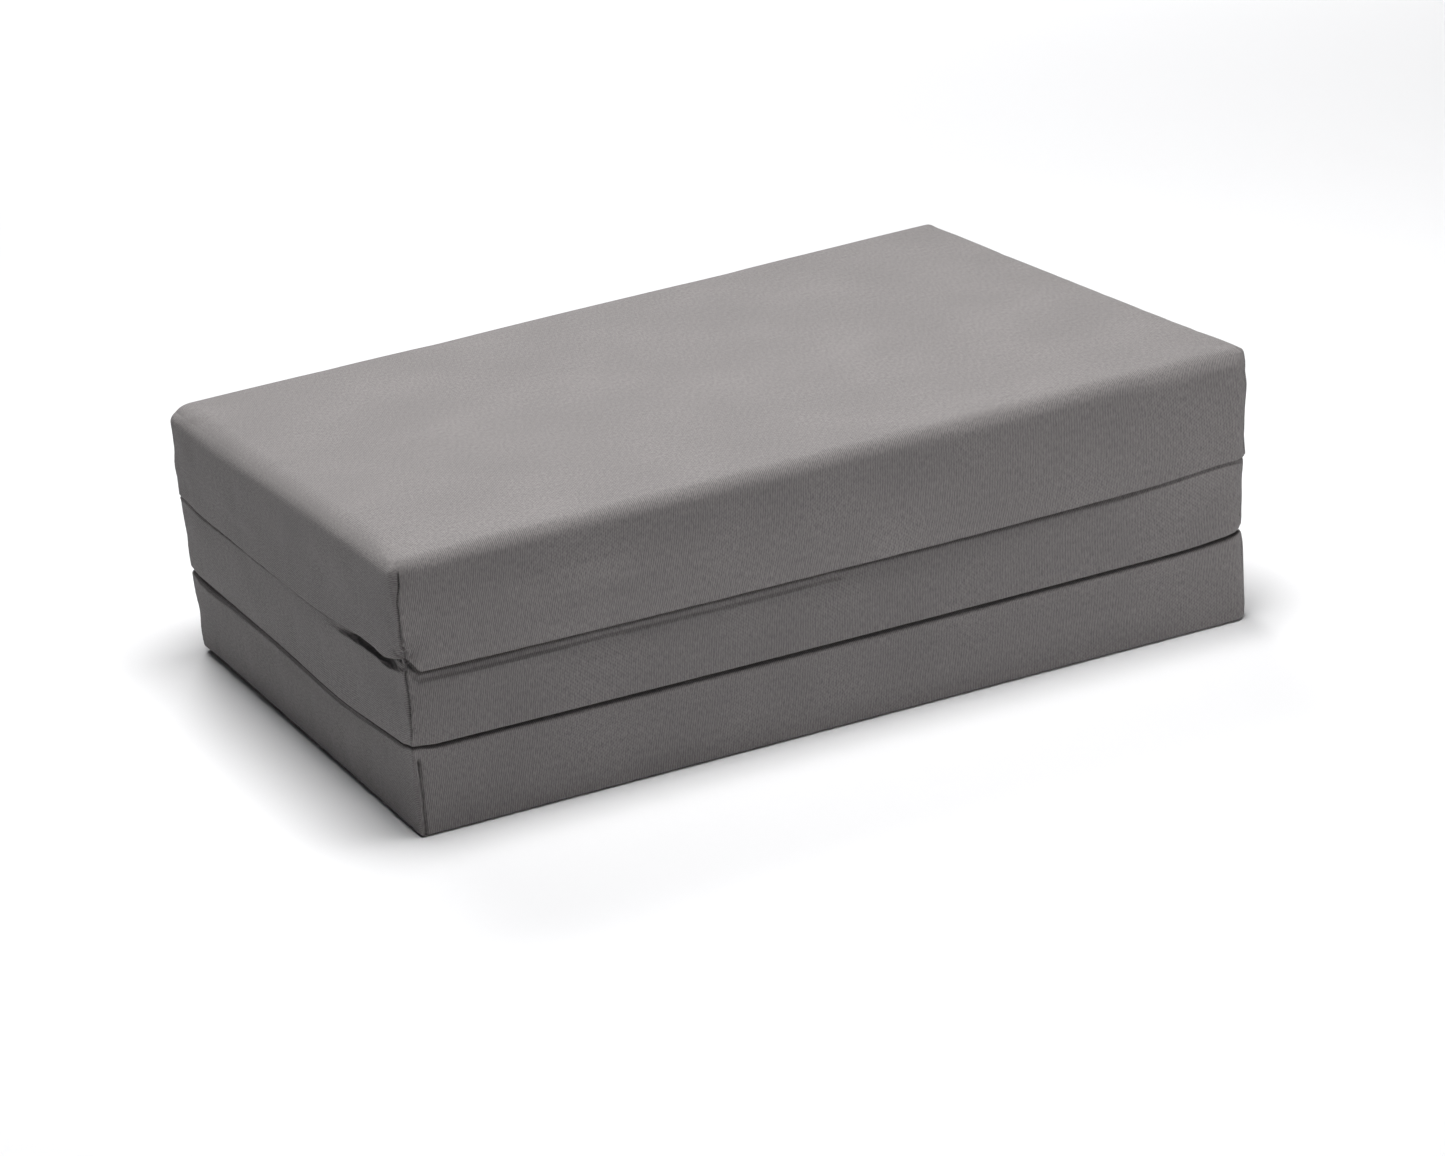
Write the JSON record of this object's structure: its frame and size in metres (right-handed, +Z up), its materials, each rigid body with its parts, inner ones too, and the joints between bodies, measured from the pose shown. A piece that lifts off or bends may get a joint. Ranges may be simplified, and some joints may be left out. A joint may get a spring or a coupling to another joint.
{
  "type": "tri-fold foam mattress",
  "caption": "Thin folding foam mattress in a warm-grey woven cover, folded in a Z into a flat stack of equal panels, with a coil zip at one end of each panel.",
  "frame": {"origin": "middle of the bottom panel's underside, with the mattress folded in its stack", "axes": "+X along the panels' long side towards the zipped end, +Y to the back, where the lower fold is, +Z up through the stack"},
  "size_m": [0.6058, 0.4002, 0.18],
  "materials": {
    "cover_twill": "matt woven polyester twill, warm grey",
    "foam": "open-cell polyurethane foam, cream",
    "fold_tape": "matt woven tape, dark grey",
    "zip_tape": "matt woven zip tape, dark grey",
    "zip_coil": "moulded nylon, dark grey",
    "zip_metal": "satin enamel on die-cast zinc, grey"
  },
  "bodies": {
    "bottom_panel": {"bottom_foam_block": "foam", "bottom_cover_shell": "cover_twill", "bottom_cover_back_sheet": "cover_twill", "bottom_zip_tape_face_side": "zip_tape", "bottom_zip_tape_back_side": "zip_tape", "bottom_zip_coil_face_side": "zip_coil", "bottom_zip_coil_back_side": "zip_coil", "bottom_zip_stops": "zip_coil", "back_fold_tape_bottom_leg": "fold_tape"},
    "bottom_slider": {"bottom_zip_slider": "zip_metal"},
    "bottom_pull": {"bottom_zip_pull": "zip_metal"},
    "middle_panel": {"middle_foam_block": "foam", "middle_cover_shell": "cover_twill", "middle_cover_back_sheet": "cover_twill", "middle_zip_tape_face_side": "zip_tape", "middle_zip_tape_back_side": "zip_tape", "middle_zip_coil_face_side": "zip_coil", "middle_zip_coil_back_side": "zip_coil", "middle_zip_stops": "zip_coil", "back_fold_tape_middle_leg": "fold_tape", "front_fold_tape_middle_leg": "fold_tape"},
    "middle_slider": {"middle_zip_slider": "zip_metal"},
    "middle_pull": {"middle_zip_pull": "zip_metal"},
    "top_panel": {"top_foam_block": "foam", "top_cover_shell": "cover_twill", "top_cover_back_sheet": "cover_twill", "top_zip_tape_face_side": "zip_tape", "top_zip_tape_back_side": "zip_tape", "top_zip_coil_face_side": "zip_coil", "top_zip_coil_back_side": "zip_coil", "top_zip_stops": "zip_coil", "front_fold_tape_top_leg": "fold_tape"},
    "top_slider": {"top_zip_slider": "zip_metal"},
    "top_pull": {"top_zip_pull": "zip_metal"}
  },
  "joints": [
    {"name": "back_fold", "type": "hinge", "parent": "bottom_panel", "child": "middle_panel", "pos_m": [0, 0.2003, 0.0598], "axis": [-1, 0, 0], "range_deg": [0, 180]},
    {"name": "front_fold", "type": "hinge", "parent": "middle_panel", "child": "top_panel", "pos_m": [0, -0.2003, 0.1202], "axis": [1, 0, 0], "range_deg": [0, 180]},
    {"name": "bottom_zip_slide", "type": "slide", "parent": "bottom_panel", "child": "bottom_slider", "axis": [0, -1, 0], "range_m": [0, 0.3388]},
    {"name": "bottom_pull_swing", "type": "hinge", "parent": "bottom_slider", "child": "bottom_pull", "pos_m": [0.3038, 0.1694, 0.0296], "axis": [0, 0, 1], "range_deg": [0, 180]},
    {"name": "middle_zip_slide", "type": "slide", "parent": "middle_panel", "child": "middle_slider", "axis": [0, 1, 0], "range_m": [0, 0.3388]},
    {"name": "middle_pull_swing", "type": "hinge", "parent": "middle_slider", "child": "middle_pull", "pos_m": [0.3038, -0.1694, 0.09], "axis": [0, 0, -1], "range_deg": [0, 180]},
    {"name": "top_zip_slide", "type": "slide", "parent": "top_panel", "child": "top_slider", "axis": [0, -1, 0], "range_m": [0, 0.3388]},
    {"name": "top_pull_swing", "type": "hinge", "parent": "top_slider", "child": "top_pull", "pos_m": [0.3038, 0.1694, 0.1504], "axis": [0, 0, 1], "range_deg": [0, 180]}
  ]
}
